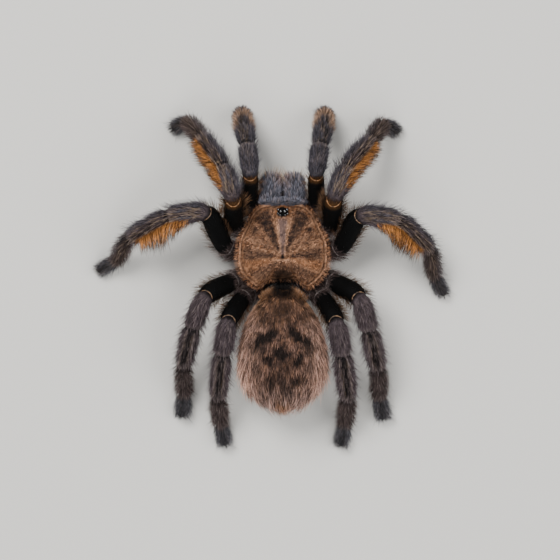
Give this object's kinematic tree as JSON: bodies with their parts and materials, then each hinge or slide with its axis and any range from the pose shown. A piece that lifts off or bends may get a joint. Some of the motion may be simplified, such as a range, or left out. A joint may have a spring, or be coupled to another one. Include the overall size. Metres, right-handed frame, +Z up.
{
  "type": "thai golden fringe tarantula",
  "caption": "Life-size still model of a live tarantula: copper-brown shield and hairy abdomen, dark legs, and a fringe of golden hair behind the front legs.",
  "frame": {"origin": "centre of the bounding box in plan, on the floor the feet stand on", "axes": "+Z up, the head faces -Y and the animal's left side is towards +X"},
  "size_m": [0.093, 0.0896, 0.0217],
  "materials": {
    "carapace_hair": "short copper-brown hair lying flat",
    "abdomen_hair": "long copper-brown hair over a dark ground",
    "leg_hair": "dark grey-brown hair, near black on the femora, with a golden fringe on the two front pairs of legs",
    "jaw_hair": "blue-grey velvet hair with rusty bristles at the front",
    "eye": "glossy black lens",
    "fang": "polished black horn"
  },
  "bodies": {
    "root": {"abdomen": "abdomen_hair", "carapace": "carapace_hair", "eye_front_middle_left": "eye", "eye_front_middle_right": "eye", "eye_front_side_left": "eye", "eye_front_side_right": "eye", "eye_rear_middle_left": "eye", "eye_rear_middle_right": "eye", "eye_rear_side_left": "eye", "eye_rear_side_right": "eye", "fang_left": "fang", "fang_right": "fang", "jaw_left": "jaw_hair", "jaw_right": "jaw_hair", "leg_1_left_coxa": "leg_hair", "leg_1_left_femur": "leg_hair", "leg_1_left_foot": "leg_hair", "leg_1_left_tibia": "leg_hair", "leg_1_right_coxa": "leg_hair", "leg_1_right_femur": "leg_hair", "leg_1_right_foot": "leg_hair", "leg_1_right_tibia": "leg_hair", "leg_2_left_coxa": "leg_hair", "leg_2_left_femur": "leg_hair", "leg_2_left_foot": "leg_hair", "leg_2_left_tibia": "leg_hair", "leg_2_right_coxa": "leg_hair", "leg_2_right_femur": "leg_hair", "leg_2_right_foot": "leg_hair", "leg_2_right_tibia": "leg_hair", "leg_3_left_coxa": "leg_hair", "leg_3_left_femur": "leg_hair", "leg_3_left_foot": "leg_hair", "leg_3_left_tibia": "leg_hair", "leg_3_right_coxa": "leg_hair", "leg_3_right_femur": "leg_hair", "leg_3_right_foot": "leg_hair", "leg_3_right_tibia": "leg_hair", "leg_4_left_coxa": "leg_hair", "leg_4_left_femur": "leg_hair", "leg_4_left_foot": "leg_hair", "leg_4_left_tibia": "leg_hair", "leg_4_right_coxa": "leg_hair", "leg_4_right_femur": "leg_hair", "leg_4_right_foot": "leg_hair", "leg_4_right_tibia": "leg_hair", "palp_left_coxa": "leg_hair", "palp_left_femur": "leg_hair", "palp_left_foot": "leg_hair", "palp_left_tibia": "leg_hair", "palp_right_coxa": "leg_hair", "palp_right_femur": "leg_hair", "palp_right_foot": "leg_hair", "palp_right_tibia": "leg_hair", "pedicel": "leg_hair", "spinneret_left": "leg_hair", "spinneret_right": "leg_hair", "spinneret_short_left": "leg_hair", "spinneret_short_right": "leg_hair", "sternum": "leg_hair"}
  },
  "joints": []
}
